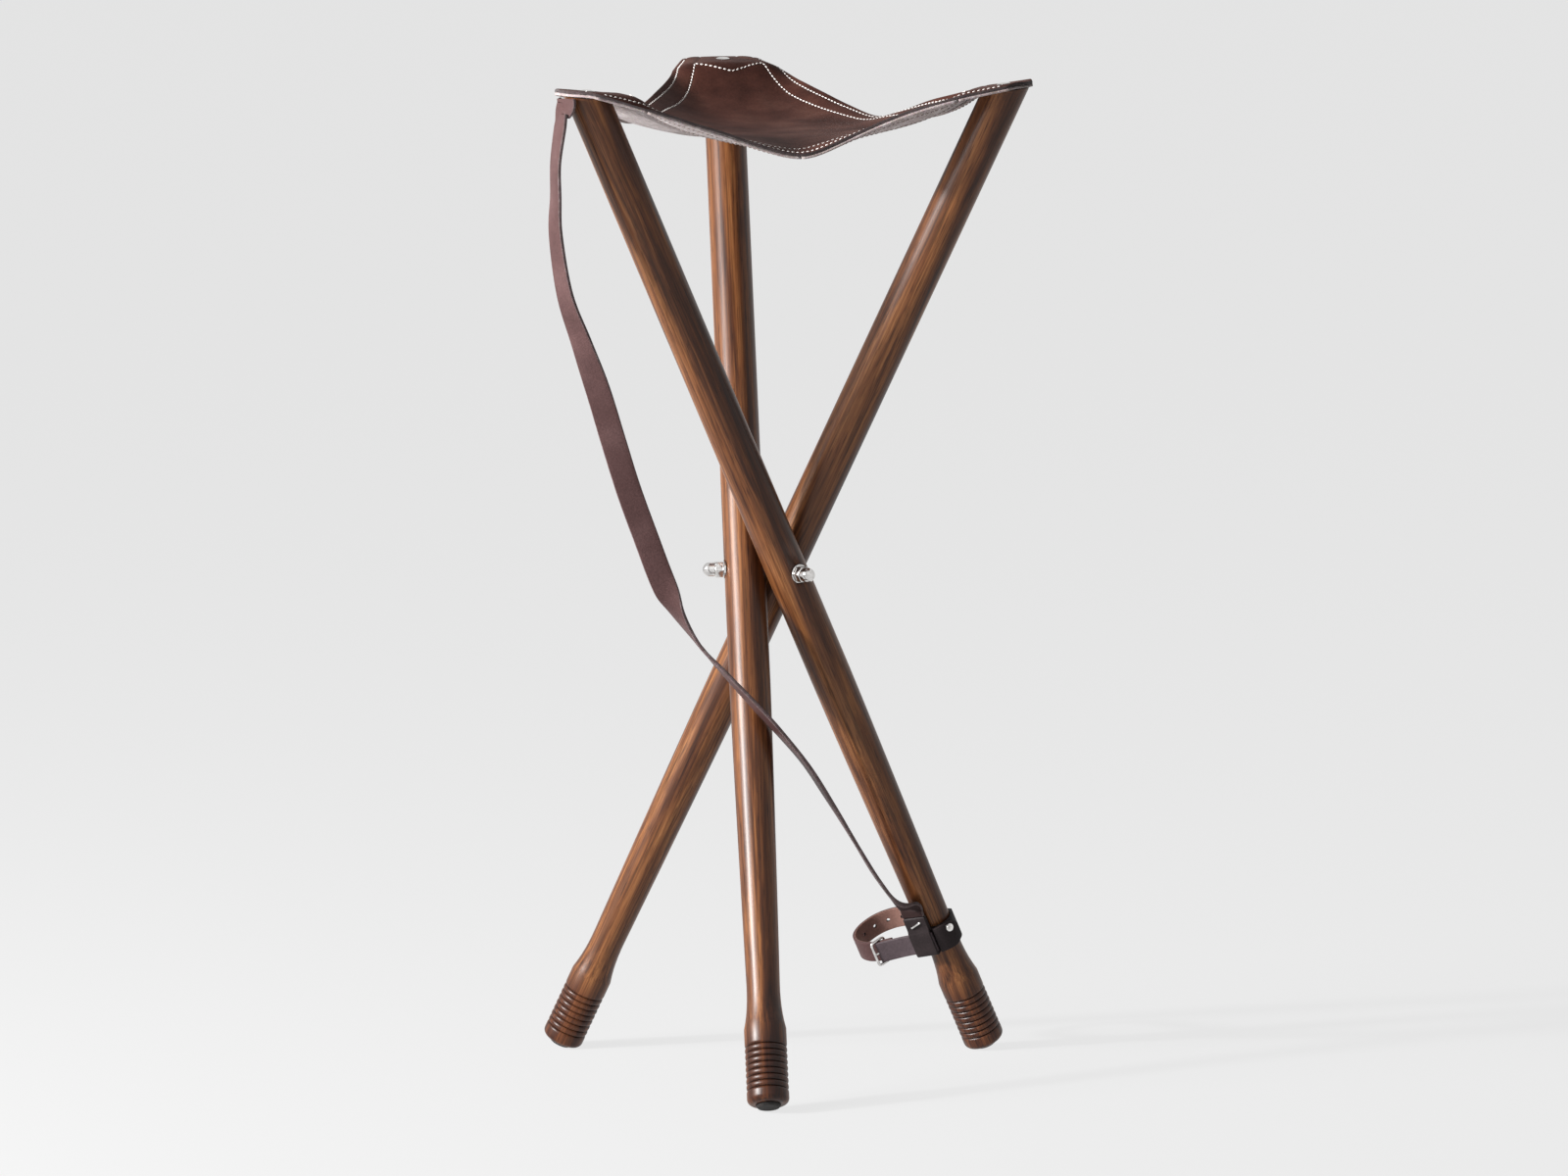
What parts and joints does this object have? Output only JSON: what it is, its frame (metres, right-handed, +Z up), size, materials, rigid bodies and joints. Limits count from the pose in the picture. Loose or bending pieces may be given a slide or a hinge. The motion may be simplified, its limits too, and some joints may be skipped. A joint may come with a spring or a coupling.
{
  "type": "folding tripod stool",
  "caption": "Folding tripod stool: turned wooden legs cross on a three-armed bolt, carry a sagging leather sling seat and fold together for the shoulder strap",
  "frame": {"origin": "on the floor, under the middle of the open stool's outline without its strap", "axes": "+Z up; the front foot points to -Y, the foot with the collar and belt to +X +Y, the third foot to -X +Y"},
  "size_m": [0.3196, 0.3509, 0.6619],
  "materials": {
    "walnut": "satin varnish over dark streaky grain",
    "rubber": "matt black",
    "nickel_plate": "bright plated",
    "plain_steel": "plain turned bar",
    "seat_leather": "smooth dark brown grain side",
    "suede_lining": "grey-beige suede side",
    "strap_leather": "smooth brown strap leather",
    "collar_leather": "smooth near-black leather"
  },
  "bodies": {
    "hub": {"hub_star": "plain_steel", "cap_nut_front": "nickel_plate", "cap_nut_right": "nickel_plate", "cap_nut_left": "nickel_plate", "arm_washer_front": "nickel_plate", "arm_washer_right": "nickel_plate", "arm_washer_left": "nickel_plate", "seat_panel": "seat_leather", "edge_band_front": "suede_lining", "edge_band_right": "suede_lining", "edge_band_left": "suede_lining"},
    "leg_front_body": {"leg_front": "walnut", "foot_plug_front": "rubber", "corner_patch_front": "suede_lining", "seat_screw_front": "nickel_plate"},
    "leg_right_body": {"leg_right": "walnut", "foot_plug_right": "rubber", "corner_patch_right": "suede_lining", "seat_screw_right": "nickel_plate", "leg_collar": "collar_leather", "collar_tail": "collar_leather", "collar_rivet": "nickel_plate", "strap_keeper": "collar_leather", "keeper_staple": "nickel_plate", "belt_buckle_end": "collar_leather", "belt_tip_end": "strap_leather", "buckle_frame": "nickel_plate", "buckle_prong": "nickel_plate", "carry_strap": "strap_leather"},
    "leg_left_body": {"leg_left": "walnut", "foot_plug_left": "rubber", "corner_patch_left": "suede_lining", "seat_screw_left": "nickel_plate"}
  },
  "joints": [
    {"name": "fold_right", "type": "hinge", "parent": "hub", "child": "leg_right_body", "pos_m": [0.00074, -0.01666, 0.33464], "axis": [-0.5, 0.866, 0], "range_deg": [0, 26.36], "deforming": ["seat_panel", "edge_band_front", "edge_band_right", "edge_band_left", "corner_patch_front", "corner_patch_right", "corner_patch_left", "belt_tip_end", "belt_buckle_end", "buckle_frame", "buckle_prong"]},
    {"name": "fold_front", "type": "hinge", "parent": "hub", "child": "leg_front_body", "pos_m": [-0.02581, -0.00133, 0.33464], "axis": [1, 0, 0], "range_deg": [0, 26.36]},
    {"name": "fold_left", "type": "hinge", "parent": "hub", "child": "leg_left_body", "pos_m": [0.00074, 0.014, 0.33464], "axis": [-0.5, -0.866, 0], "range_deg": [0, 26.36]}
  ],
  "couplings": [
    {"joint": "fold_front", "follows": "fold_right", "ratio": 1},
    {"joint": "fold_left", "follows": "fold_right", "ratio": 1}
  ]
}
